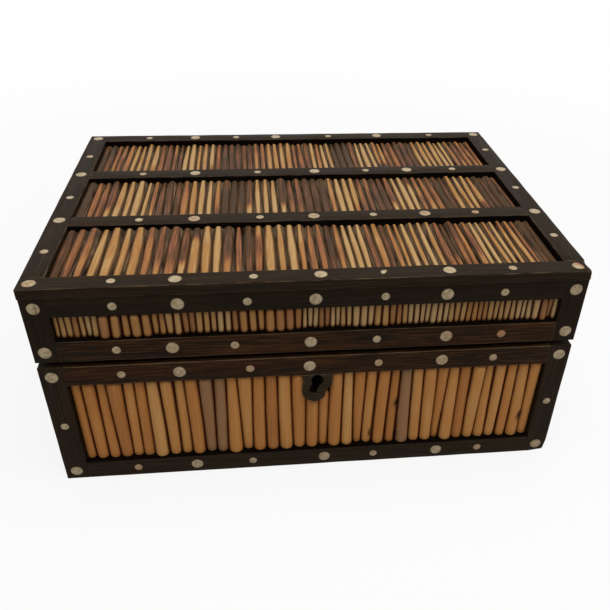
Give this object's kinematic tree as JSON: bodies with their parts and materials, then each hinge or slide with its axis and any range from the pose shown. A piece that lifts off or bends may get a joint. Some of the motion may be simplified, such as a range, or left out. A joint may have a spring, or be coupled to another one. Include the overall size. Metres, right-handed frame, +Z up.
{
  "type": "porcupine quill box",
  "caption": "Hinged ebony casket with panels of porcupine quills, inlaid bone pegs, a shield escutcheon and a box lock.",
  "frame": {"origin": "middle of the underside, on the surface that the box stands on", "axes": "+X to the viewer's right along the front, +Y from the front to the hinges, +Z up"},
  "size_m": [0.3018, 0.2309, 0.134],
  "materials": {
    "ebony": "polished, worn along the arrises",
    "thick_quill": "natural quill, satin",
    "thin_quill": "natural quill, satin",
    "top_quill": "banded natural quill, satin",
    "bone": "polished bone",
    "carcass_wood": "planed and oiled",
    "brass": "aged"
  },
  "bodies": {
    "base": {"base_bottom_board": "carcass_wood", "base_front_board": "carcass_wood", "base_right_board": "carcass_wood", "base_back_board": "carcass_wood", "base_left_board": "carcass_wood", "base_corner_posts": "ebony", "base_top_rail_front": "ebony", "base_top_rail_right": "ebony", "base_top_rail_back": "ebony", "base_top_rail_left": "ebony", "base_bottom_rail_front": "ebony", "base_bottom_rail_right": "ebony", "base_bottom_rail_back": "ebony", "base_bottom_rail_left": "ebony", "base_quills_front": "thick_quill", "base_quills_right": "thick_quill", "base_quills_back": "thick_quill", "base_quills_left": "thick_quill", "base_large_pegs": "bone", "base_small_pegs": "bone", "base_screws": "brass", "hinge_base_leaves": "brass", "hinge_pins": "brass", "escutcheon": "ebony", "lock_case": "brass", "lock_cover": "brass"},
    "lid": {"lid_top_board": "carcass_wood", "lid_front_board": "carcass_wood", "lid_right_board": "carcass_wood", "lid_back_board": "carcass_wood", "lid_left_board": "carcass_wood", "lid_corner_posts": "ebony", "lid_top_rail_front": "ebony", "lid_top_rail_right": "ebony", "lid_top_rail_back": "ebony", "lid_top_rail_left": "ebony", "lid_bottom_rail_front": "ebony", "lid_bottom_rail_right": "ebony", "lid_bottom_rail_back": "ebony", "lid_bottom_rail_left": "ebony", "lid_quills_front": "thin_quill", "lid_quills_right": "thin_quill", "lid_quills_back": "thin_quill", "lid_quills_left": "thin_quill", "top_strip_front": "ebony", "top_strip_back": "ebony", "top_strip_left": "ebony", "top_strip_right": "ebony", "cross_bar_front": "ebony", "cross_bar_back": "ebony", "top_quills_front": "top_quill", "top_quills_middle": "top_quill", "top_quills_back": "top_quill", "lid_large_pegs": "bone", "lid_small_pegs": "bone", "lid_screws": "brass", "hinge_lid_leaves": "brass", "link_plate": "brass", "link_staples": "brass"},
    "bolt": {"lock_bolt": "brass"}
  },
  "joints": [
    {"name": "lid_hinge", "type": "hinge", "parent": "base", "child": "lid", "pos_m": [0, 0.1154, 0.08625], "axis": [-1, 0, 0], "range_deg": [0, 100]},
    {"name": "bolt_slide", "type": "slide", "parent": "base", "child": "bolt", "axis": [1, 0, 0], "range_m": [0, 0.0055]}
  ]
}
